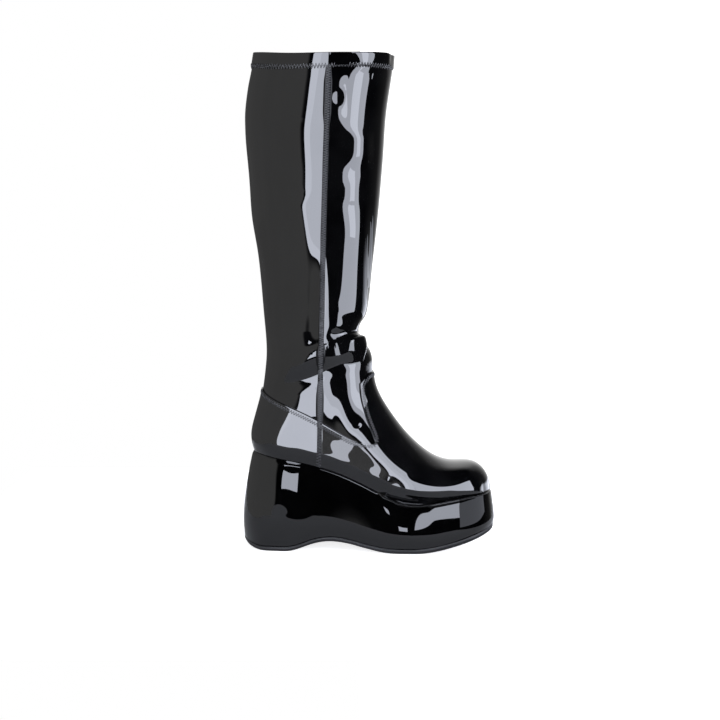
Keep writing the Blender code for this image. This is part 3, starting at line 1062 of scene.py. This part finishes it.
@dataclass
class CreaseMap:
    """Folds, dents and ripples of the leather, placed in the boot's own sizes."""

    view: SideView
    forms: tuple[Fold | Dent | Ripple, ...] = (
        Fold(
            "ankle roll",
            ((-96, 164), (-83, 180), (-66, 189), (-37, 200), (-16, 206), (-8, 204), (4, 198)),
            left=6.5, right=18, height=2.8, start=0.3, end=0.1,
        ),
        Fold(
            "end of the roll",
            ((-32, 203), (-16, 206), (-6, 204), (2, 201)),
            left=7, right=22, height=5.5, start=0.35, end=0.4, soft=1.2, sharp=1.0,
        ),
        Fold(
            "waist above the roll",
            ((-42, 221), (-26, 219), (-12, 217), (0, 217)),
            left=22, right=6, height=1.6, start=0.3, end=0.3,
        ),
        Fold(
            "under the roll",
            ((-90, 154), (-66, 166), (-37, 179), (-16, 186), (-3, 182)),
            left=8, right=7, height=-1.0, start=0.2, end=0.2, soft=3.0,
        ),
        Fold(
            "behind the seam",
            ((-66, 335), (-62, 300), (-60, 265), (-60, 235), (-62, 194)),
            left=20, right=46, height=-5.0, start=1.0, end=0.15, soft=4.0,
        ),
        Fold(
            "step behind the seam",
            ((-71, 343), (-66, 330), (-60, 300), (-54, 280)),
            left=16, right=24, height=0.9, start=0.12, end=0.5,
        ),
        Fold(
            "beside the foot seam",
            ((-44, 168), (-45, 150), (-46, 125), (-47, 108), (-48, 92)),
            left=36, right=90, height=1.2, end=0.5, soft=3.0,
        ),
        Fold(
            "front of the shin",
            ((-8, 345), (-8, 300), (-9, 256), (-10, 215)),
            left=13, right=26, height=1.8, start=0.3, end=0.2,
        ),
        Fold(
            "beside the seam",
            ((-34, 466), (-34, 440), (-34, 408)),
            left=12, right=150, height=1.5, start=0.3, end=0.3,
        ),
        Fold("upper wave", ((-7, 410), (-8, 390), (-7, 366)), left=15, right=18, height=2.3, end=0.45),
        Fold("top wave", ((-8, 482), (-8, 470), (-7, 457)), left=14, right=15, height=1.4),
        Fold("middle wave", ((-14, 362), (-13, 348), (-14, 334)), left=12, right=11, height=0.5),
        Fold("back of the calf", ((-118, 405), (-115, 375), (-113, 345)), left=5, right=5, height=-0.6),
        Fold(
            "hem",
            ((-118, 476), (-100, 476), (-60, 476), (-20, 476), (20, 475)),
            left=7, right=7, height=0.7, start=0.05, end=0.05,
        ),
        Fold(
            "toe welt",
            ((18, 68), (45, 60), (70, 56), (95, 54), (112, 58)),
            left=12, right=6, height=2.2, end=0.1,
        ),
        Fold(
            "inner roll",
            ((0, 199), (-20, 199), (-45, 190), (-70, 178), (-92, 162)),
            left=9, right=25, height=2.6, start=0.15, end=0.3, soft=3.5, side=Side.MEDIAL,
        ),
        Fold(
            "under the inner roll",
            ((0, 178), (-30, 173), (-62, 156), (-90, 148)),
            left=8, right=7, height=-1.0, start=0.2, end=0.2, soft=3.0, side=Side.MEDIAL,
        ),
        Fold(
            "inner hem",
            ((20, 475), (-20, 476), (-60, 476), (-100, 476), (-118, 476)),
            left=7, right=7, height=0.7, start=0.05, end=0.05, side=Side.MEDIAL,
        ),
        Dent(-30, 437, 9, 12, -1.4),
        Dent(-22, 142, 15, 36, 0.6),
        Dent(-70, 343, 11, 6, -0.8, tilt=35.0),
        Dent(-82, 182, 6, 4, -0.5, tilt=30.0),
        Dent(-11, 124, 6, 4, -0.9, tilt=10.0),
        Dent(-94, 137, 2, 4, -0.4, tilt=20.0),
        Dent(8, 420, 18, 18, -0.8, side=Side.MEDIAL),
        Dent(-6, 360, 18, 24, 0.7, side=Side.MEDIAL),
        Dent(-70, 310, 20, 26, -0.8, side=Side.MEDIAL),
        Ripple((9.0, 5.0, 13.0), 0.07, 0.4),
        Ripple((-14.0, 8.0, 6.0), 0.06, 2.1),
        Ripple((6.0, -11.0, 19.0), 0.04, 4.0),
    )

    def press(self, piece: Piece, facing: float = 1.0) -> None:
        """Moves a piece's skin along its own directions.

        Args:
            piece: The piece.
            facing: 1 where its faces look out of the boot, -1 where they look in.
        """
        co = vertices(piece)
        lift = sum(form.lift(co, self.view) for form in self.forms)
        move(piece, co + facing * normals(piece) * lift[:, None])


@dataclass
class Upper:
    """The hollow wall of foot and shaft, as its outer skin and its lining."""

    grid: LastGrid
    creases: CreaseMap
    skin_levels: int = 3
    lining_levels: int = 2
    skin: Piece = field(init=False)
    lining: Piece = field(init=False)

    def build(self) -> None:
        """Cuts the CAD upper into skin and lining along lines that the overlays and the collar hide."""
        self.skin = self._part("upper_skin", True)
        smooth_out(self.skin, self.skin_levels)
        self.lining = self._part("upper_lining", False)
        smooth_out(self.lining, self.lining_levels)
        self.creases.press(self.skin)
        self.creases.press(self.lining, -1.0)

    def _part(self, name: str, outside: bool) -> Piece:
        """One of the two parts of the CAD upper.

        Args:
            name: Name of the new piece.
            outside: Whether the outer skin is wanted, or else the rest.

        Returns:
            The part, as a cage of quads.
        """
        piece, rows, cols, outer = quad_copy("upper", name, self.grid, Ply.WALL)
        if not outside:
            self.grid.sheet_map(piece, rows, cols)
        unwanted = []
        for face in piece.data.polygons:
            corners = list(face.vertices)
            skin = outer[corners].all() and rows[corners].min() >= Row.COVERED
            rim = rows[corners].min() == Row.COLLAR
            unwanted.append((skin or rim) != outside)
        choose(piece, "FACE", unwanted)
        with editing(piece, "FACE"):
            bpy.ops.mesh.delete(type="FACE")
        return piece

    def dress(self, wardrobe: Wardrobe) -> None:
        """Gives skin and lining their finishes."""
        finish_piece(self.skin, wardrobe.upper, Slot.UPPER, "upper")
        finish_piece(self.lining, wardrobe.lining, Slot.CLOTH)


@dataclass
class Overlays:
    """Vamp, heel counter, hem and the raised seam strips that lie on the upper."""

    grid: LastGrid
    creases: CreaseMap
    edge: float = 0.30 * MM
    levels: int = 3
    nodes: tuple[str, ...] = (
        "vamp",
        "heel_counter",
        "collar_hem",
        "side_seam_lateral",
        "side_seam_medial",
        "quarter_seam_lateral",
        "quarter_seam_medial",
    )
    pieces: dict[str, Piece] = field(default_factory=dict)

    def build(self) -> None:
        """Smooths each overlay and presses the creases into it."""
        for node in self.nodes:
            piece = quad_copy(node, f"{node}_leather", self.grid, Ply.OVERLAY)[0]
            smooth_out(piece, self.levels, edge=self.edge)
            self.creases.press(piece)
            self.pieces[node] = piece

    def dress(self, wardrobe: Wardrobe) -> None:
        """Gives each overlay the patent finish, duller on the sewn strips."""
        for node, piece in self.pieces.items():
            finish = wardrobe.strip if "seam" in node else wardrobe.upper
            finish_piece(piece, finish, Slot.UPPER, node)


@dataclass
class Sole:
    """Platform, outsole and insole."""

    levels: dict[str, int] = field(default_factory=lambda: {"platform": 3, "outsole": 3, "insole": 2})
    quad_bend: float = math.radians(70)
    quad_skew: float = math.radians(120)
    platform_forms: tuple[Fold | Dent | Ripple, ...] = (
        Fold("heel swell", ((-104, 57), (-85, 57), (-66, 57), (-48, 56)), left=20, right=20, height=0.6),
        Dent(-68, 66, 24, 44, -0.85),
        Dent(37, 19, 30, 33, 0.95),
        Dent(-113, 45, 7, 3, -0.5, tilt=20.0),
        Ripple((11.0, 4.0, 9.0), 0.05, 1.0),
        Ripple((-7.0, 9.0, 14.0), 0.04, 3.0),
    )
    pieces: dict[str, Piece] = field(default_factory=dict)

    def build(self) -> None:
        """Smooths the three layers of the sole."""
        for node, levels in self.levels.items():
            piece = merged_copy(node, f"{node}_layer")
            with editing(piece):
                bpy.ops.mesh.select_all(action="SELECT")
                bpy.ops.mesh.tris_convert_to_quads(
                    face_threshold=self.quad_bend, shape_threshold=self.quad_skew, topology_influence=1.0
                )
            smooth_out(piece, levels)
            self.pieces[node] = piece
        platform = self.pieces["platform"]
        CreaseMap(SideView.on_piece(platform), self.platform_forms).press(platform)

    def dress(self, wardrobe: Wardrobe) -> None:
        """Gives each layer its finish."""
        finish_piece(self.pieces["platform"], wardrobe.platform, Slot.PLATFORM, "platform")
        finish_piece(self.pieces["outsole"], wardrobe.rubber, Slot.RUBBER, "outsole")
        finish_piece(self.pieces["insole"], wardrobe.sock, Slot.CLOTH, "insole")


@dataclass
class Stitching:
    """Zigzags of thread, each joined from copies of one modelled stitch.

    A zigzag turns once for each pitch along its line and swings to each side by its reach. The thread
    sinks into the leather, whose surface is sought from a place above it. A stitch's height is the share
    flat of its width. Its ends, further from its middle than the share dip_from of its length, drop by
    the share dip of the thread.
    """

    grid: LastGrid
    thread: float = 0.66 * MM
    sink: float = 0.14 * MM
    above: float = 9 * MM
    guide_pitch: float = 1.5 * MM
    band_inset: float = 2.7 * MM
    band_pitch: float = 1.25 * MM
    band_reach: float = 1.9 * MM
    hem_pitch: float = 1.45 * MM
    hem_reach: float = 2.6 * MM
    strip_pitch: float = 1.15 * MM
    strip_reach: float = 2.3 * MM
    whip_pitch: float = 1.40 * MM
    whip_reach: float = 2.9 * MM
    flat: float = 0.8
    dip: float = 0.22
    dip_from: float = 0.4
    net: BVHTree = field(init=False)
    stitch: tuple[Points, list[tuple[int, ...]]] = field(init=False)
    pieces: list[Piece] = field(default_factory=list)

    def build(self, ground: Iterable[Piece]) -> None:
        """Sews all seams.

        Args:
            ground: The dressed leather that the thread lies on.
        """
        self.net = net_of(ground)
        self.stitch = self._model()
        around, tongue = Col.AROUND, Col.TONGUE
        edge = [
            (Row.SIDE_TOP, -tongue),
            (Row.SIDE_TOP, tongue),
            (Row.TONGUE_TOP, tongue),
            (Row.TONGUE_TOP, around - tongue),
            (Row.SIDE_TOP, around - tongue),
        ]
        guide = evenly(self.grid.line(edge, closed=True), self.guide_pitch, closed=True)
        band = self._beside(guide, True, self.band_inset)
        self._zigzag("band_stitch", band, True, self.band_pitch, self.band_reach)
        hem = self.grid.line([(Row.HEM_LOW, 0), (Row.HEM_LOW, around)], closed=True)
        self._zigzag("hem_zigzag", hem, True, self.hem_pitch, self.hem_reach)
        for side in Side:
            col = Col.SEAM if side is Side.LATERAL else around - Col.SEAM
            shaft = self.grid.line([(Row.SIDE_TOP, col), (Row.HEM_LOW, col)])
            foot = self.grid.line([(Row.FEATHER, col), (Row.SIDE_TOP, col)])
            name = side.name.lower()
            self._zigzag(f"cover_stitch_{name}", shaft, False, self.strip_pitch, self.strip_reach)
            self._zigzag(f"whip_stitch_{name}", foot, False, self.whip_pitch, self.whip_reach)

    def _model(self) -> tuple[Points, list[tuple[int, ...]]]:
        """One stitch of length and thickness 1 along X: a rounded grain whose ends dip into the leather.

        Returns:
            Its points and faces.
        """
        bpy.ops.object.select_all(action="DESELECT")
        bpy.ops.mesh.primitive_uv_sphere_add(segments=8, ring_count=6, radius=0.5)
        grain = bpy.context.active_object
        with editing(grain, "VERT"):
            bpy.ops.mesh.select_all(action="SELECT")
            bpy.ops.transform.rotate(value=math.pi / 2, orient_axis="Y", center_override=(0, 0, 0))
            bpy.ops.transform.resize(value=(1.0, 1.0, self.flat), center_override=(0, 0, 0))
            bpy.ops.mesh.select_all(action="DESELECT")
        for vertex in grain.data.vertices:
            vertex.select = abs(vertex.co.x) > self.dip_from
        with editing(grain, "VERT"):
            bpy.ops.transform.translate(value=(0, 0, -self.dip))
        points, faces = vertices(grain), [tuple(face.vertices) for face in grain.data.polygons]
        bpy.data.objects.remove(grain)
        return points, faces

    def _lay(self, points: Points) -> tuple[Points, Points]:
        """Points dropped from outside onto the leather, and the outward directions there."""
        places, aims = points.copy(), self.grid.aim_at(points)
        for index, (point, aim) in enumerate(zip(points, aims)):
            place = self.net.ray_cast(Vector(point + self.above * aim), Vector(-aim), 2 * self.above)[0]
            if place is not None:
                places[index] = place
        return places, aims

    def _beside(self, line: Points, closed: bool, amount: float) -> Points:
        """A line moved sideways along the leather.

        Args:
            line: The line's points.
            closed: Whether it runs back to its start.
            amount: How far to the right, seen along the line from outside.

        Returns:
            The points of the new line.
        """
        ahead = np.roll(line, -1, 0) - np.roll(line, 1, 0) if closed else np.gradient(line, axis=0)
        return line + amount * unit(np.cross(ahead, self.grid.aim_at(line)))

    def _sew(self, name: str, starts: Points, ends: Points) -> None:
        """Joins stitches between pairs of points into one piece.

        Args:
            name: Name of the piece.
            starts: Where the stitches start.
            ends: Where they end.
        """
        (grain, cells), thread = self.stitch, self.thread
        place, normal = self._lay((starts + ends) / 2)
        along = self._lay(ends)[0] - self._lay(starts)[0]
        length = np.linalg.norm(along, axis=1)[:, None, None]
        along = unit(along)
        across = unit(np.cross(normal, along))
        up = np.cross(along, across)
        centre = place + up * (thread / 2 - self.sink)
        points = (
            centre[:, None]
            + grain[None, :, :1] * length * along[:, None]
            + grain[None, :, 1:2] * thread * across[:, None]
            + grain[None, :, 2:] * thread * up[:, None]
        )
        faces = [[k * len(grain) + v for v in cell] for k in range(len(points)) for cell in cells]
        mesh = bpy.data.meshes.new(name)
        mesh.from_pydata(points.reshape(-1, 3).tolist(), [], faces)
        mesh.polygons.foreach_set("use_smooth", [True] * len(mesh.polygons))
        piece = bpy.data.objects.new(name, mesh)
        bpy.context.scene.collection.objects.link(piece)
        self.pieces.append(piece)

    def _zigzag(self, name: str, line: Points, closed: bool, pitch: float, reach: float) -> None:
        """A zigzag over a line.

        Args:
            name: Name of the piece.
            line: The line's points.
            closed: Whether it runs back to its start.
            pitch: Distance between turns along the line.
            reach: How far it swings to each side.
        """
        line = evenly(line, pitch, closed)
        if closed and len(line) % 2:
            line = evenly(line, pitch * len(line) / (len(line) + 1), closed)
        right, left = (self._beside(line, closed, way * reach) for way in (1, -1))
        swing = np.where((np.arange(len(line)) % 2 == 0)[:, None], right, left)
        starts, ends = (swing, np.roll(swing, -1, 0)) if closed else (swing[:-1], swing[1:])
        self._sew(name, starts, ends)

    def dress(self, wardrobe: Wardrobe) -> None:
        """Gives the thread its finish."""
        for piece in self.pieces:
            thread = wardrobe.hem_thread if "hem" in piece.name else wardrobe.seam_thread
            finish_piece(piece, thread, Slot.UPPER)


class Lit(Enum):
    """Which pieces a softbox lights: all but those named, or those alone."""

    BOOT = ("EXCLUDE", ("platform_layer", "heel_counter_leather"))
    SHAFT = ("EXCLUDE", ("platform_layer", "heel_counter_leather", "vamp_leather"))
    PLATFORM = ("INCLUDE", ("platform_layer",))
    COUNTER = ("INCLUDE", ("heel_counter_leather",))
    VAMP = ("INCLUDE", ("vamp_leather",))


@dataclass(frozen=True)
class Softbox:
    """A soft light that looks at the boot.

    Attributes:
        name: Name of the light.
        bearings: Its left and right edge in degrees, from the camera's side to the right.
        rises: Its lower and upper edge in degrees above level.
        radiance: How bright it looks.
        lit: The pieces that it lights.
        aim: The height that bearings and rises are measured from.
        distance: How far it stands from the middle of the boot.
        tint: Its colour.
    """

    name: str
    bearings: Span
    rises: Span
    radiance: float
    lit: Lit = Lit.BOOT
    aim: float = 0.2
    distance: float = 2.2
    tint: Colour = (0.84, 0.88, 1.0)

    def place(self) -> None:
        """Adds the light."""
        low, high = (self.aim + self.distance * math.tan(math.radians(rise)) for rise in self.rises)
        half = math.radians(self.bearings[1] - self.bearings[0]) / 2
        bearing = math.radians(sum(self.bearings) / 2)
        light = bpy.data.lights.new(self.name, "AREA")
        light.shape, light.size, light.size_y = "RECTANGLE", 2 * self.distance * math.tan(half), high - low
        light.color = self.tint
        light.energy = self.radiance * math.pi * light.size * light.size_y
        lamp = bpy.data.objects.new(self.name, light)
        way = Vector((math.sin(bearing), -math.cos(bearing), 0))
        lamp.location = self.distance * way + Vector((0, 0, (low + high) / 2))
        lamp.rotation_euler = (math.pi / 2, 0, bearing)
        lamp.visible_camera = False
        bpy.context.scene.collection.objects.link(lamp)
        state, names = self.lit.value
        pieces = bpy.data.collections.new(f"{self.name}_pieces")
        for name in names:
            pieces.objects.link(bpy.data.objects[name])
        for entry in pieces.collection_objects:
            entry.light_linking.link_state = state
        lamp.light_linking.receiver_collection = pieces


@dataclass
class Studio:
    """White table, dark room with pale walls, softboxes and the camera.

    The walls are bearings in degrees with the light that comes from there. The ramp that paints them carries
    their light divided by wall_gain, which keeps its colours under 1.
    """

    left_wall: Pairs = (
        (-180.0, 0.30),
        (-160.0, 0.10),
        (-140.0, 0.20),
        (-120.0, 0.38),
        (-90.0, 0.66),
        (-60.0, 0.78),
        (-18.0, 0.80),
        (-15.0, 0.0),
    )
    right_wall: Pairs = ((90.0, 0.0), (125.0, 0.08), (150.0, 0.6), (165.0, 1.3), (180.0, 1.8))
    wall_gain: float = 2.0
    wall_top: Span = (62.0, 44.0)
    wall_lean: float = 3.0
    lean_rises: Span = (-11.0, -7.0)
    table: tuple[float, float, float, float] = (-0.42, 0.28, -0.42, 0.45)
    table_drop: float = 0.3 * MM
    table_glow: float = 0.8
    table_dark: Colour = (0.86, 0.86, 0.86)
    table_pale: Colour = (0.88, 0.88, 0.88)
    table_roughness: float = 0.9
    tone_scale: float = 6.0
    tone_edge: Span = (0.2, 0.8)
    camera_place: tuple[float, float, float] = (-0.00887, -1.70, 0.36)
    camera_pitch: float = -5.93
    lens: float = 86.7
    sensor: float = 36.0
    lights: tuple[Softbox, ...] = (
        Softbox("key_softbox", (-12.0, 7.0), (-22.0, 40.0), 11.8),
        Softbox("key_edge", (-12.0, -4.5), (-22.0, 40.0), 1.8),
        Softbox("front_softbox", (37.0, 73.0), (-20.0, 33.0), 9.5, Lit.SHAFT),
        Softbox("front_core", (46.0, 60.0), (-9.0, 33.0), 5.0, Lit.SHAFT),
        Softbox("low_back_softbox", (104.0, 152.0), (-20.0, -7.0), 1.0),
        Softbox("low_back_middle", (112.0, 152.0), (-20.0, -5.5), 1.4),
        Softbox("low_back_end", (122.0, 152.0), (-20.0, -4.0), 1.4),
        Softbox("counter_softbox", (-20.0, 18.0), (-22.0, 30.0), 13.5, Lit.COUNTER),
        Softbox("toe_strip", (7.0, 74.0), (-16.0, 28.0), 11.0, Lit.VAMP, 0.06),
        Softbox("vamp_softbox", (-19.8, -16.8), (-22.0, -4.0), 10.0, Lit.VAMP),
        Softbox("heel_softbox", (-6.5, 2.6), (1.0, 4.6), 9.5, Lit.PLATFORM, 0.06),
        Softbox("toe_softbox", (10.8, 34.0), (3.0, 20.0), 8.5, Lit.PLATFORM, 0.04),
        Softbox("toe_side_wall", (34.0, 100.0), (-2.0, 20.0), 1.6, Lit.PLATFORM, 0.04),
        Softbox("lip_softbox", (3.0, 40.0), (36.0, 52.0), 7.0, Lit.PLATFORM, 0.06),
    )

    def build(self) -> None:
        """Sets the stage."""
        self._table()
        self._room()
        self._camera()
        bpy.context.scene.view_settings.view_transform = "Standard"

    def light(self) -> None:
        """Places the softboxes, once the pieces they light are there."""
        for softbox in self.lights:
            softbox.place()

    def _table(self) -> None:
        """The pale floor that the boot stands on."""
        left, right, front, back = self.table
        bpy.ops.object.select_all(action="DESELECT")
        bpy.ops.mesh.primitive_plane_add(size=1.0, location=(0, 0, 0))
        floor = bpy.context.active_object
        floor.name = "floor"
        with editing(floor, "VERT"):
            bpy.ops.mesh.select_all(action="SELECT")
            bpy.ops.transform.resize(value=(right - left, back - front, 1.0), center_override=(0, 0, 0))
            bpy.ops.transform.translate(value=((left + right) / 2, (front + back) / 2, -self.table_drop))
        finish = Finish("pale_floor")
        tone = finish.sheet.span(finish.sheet.noise(finish.place(), self.tone_scale), *self.tone_edge)
        seen = finish.sheet.add("ShaderNodeLightPath").outputs["Is Camera Ray"]
        floor.data.materials.append(
            finish.shader(
                {
                    "Base Color": finish.mix(tone, self.table_dark, self.table_pale),
                    "Roughness": self.table_roughness,
                    "Specular IOR Level": 0.0,
                    "Emission Color": (1.0, 1.0, 1.0, 1.0),
                    "Emission Strength": finish.sheet.math("MULTIPLY", seen, self.table_glow),
                }
            )
        )

    def _room(self) -> None:
        """White behind the boot, and for its gloss pale walls to the left and the back in a dark room."""
        world = bpy.data.worlds.new("studio_room")
        world.use_nodes = True
        sheet = NodeSheet(world.node_tree)
        way = sheet.add("ShaderNodeSeparateXYZ", {0: sheet.add("ShaderNodeTexCoord").outputs["Generated"]})
        facing = sheet.math("MULTIPLY", way.outputs[1], -1.0)
        bearing = sheet.math("ARCTAN2", way.outputs[0], facing)
        rise = sheet.math("ARCSINE", way.outputs[2])
        low_rise, high_rise = (math.radians(angle) for angle in self.lean_rises)
        lean = sheet.span(rise, low_rise, high_rise, (math.radians(-self.wall_lean), 0.0))
        turn = sheet.math("ADD", sheet.math("DIVIDE", sheet.math("ADD", bearing, lean), 2 * math.pi), 0.5)
        walls = sheet.add("ShaderNodeValToRGB", {"Fac": turn})
        self._paint(walls.color_ramp, (*self.left_wall, *self.right_wall))
        low = sheet.span(rise, *(math.radians(a) for a in self.wall_top))
        glow = sheet.math("MULTIPLY", walls.outputs["Color"], low)
        seen = sheet.add("ShaderNodeLightPath").outputs["Is Camera Ray"]
        strength = sheet.math("MAXIMUM", sheet.math("MULTIPLY", glow, self.wall_gain), seen)
        back = sheet.add("ShaderNodeBackground", {"Color": (1, 1, 1, 1), "Strength": strength})
        sheet.add("ShaderNodeOutputWorld", {"Surface": back.outputs[0]})
        bpy.context.scene.world = world

    def _paint(self, ramp: bpy.types.ColorRamp, walls: Iterable[Span]) -> None:
        """Sets a ramp's stops from bearings and the light that comes from them.

        Args:
            ramp: The ramp, which runs once round the room.
            walls: Bearings in rising order, each with its light.
        """
        while len(ramp.elements) > 1:
            ramp.elements.remove(ramp.elements[-1])
        for index, (bearing, glow) in enumerate(walls):
            place = bearing / 360 + 0.5
            stop = ramp.elements[0] if index == 0 else ramp.elements.new(place)
            tone = glow / self.wall_gain
            stop.position, stop.color = place, (tone, tone, tone, 1)

    def _camera(self) -> None:
        """The camera at the photo's angle."""
        lens = bpy.data.cameras.new("camera")
        lens.lens, lens.sensor_width = self.lens, self.sensor
        camera = bpy.data.objects.new("camera", lens)
        camera.location = self.camera_place
        camera.rotation_euler = (math.radians(90 + self.camera_pitch), 0, 0)
        bpy.context.scene.collection.objects.link(camera)
        bpy.context.scene.camera = camera


def main() -> None:
    """Builds the boot's pieces in order and reports each."""
    logging.basicConfig(level=logging.INFO, format="%(name)s %(message)s")
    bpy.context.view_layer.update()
    studio = Studio()
    studio.build()
    wardrobe = Wardrobe()
    grid = LastGrid()
    creases = CreaseMap(SideView.on_grid(grid))
    upper, overlays, sole = Upper(grid, creases), Overlays(grid, creases), Sole()
    for assembly in (sole, upper, overlays):
        assembly.build()
        assembly.dress(wardrobe)
    studio.light()
    stitching = Stitching(grid)
    stitching.build([upper.skin, *overlays.pieces.values()])
    stitching.dress(wardrobe)


if __name__ == "__main__":
    main()
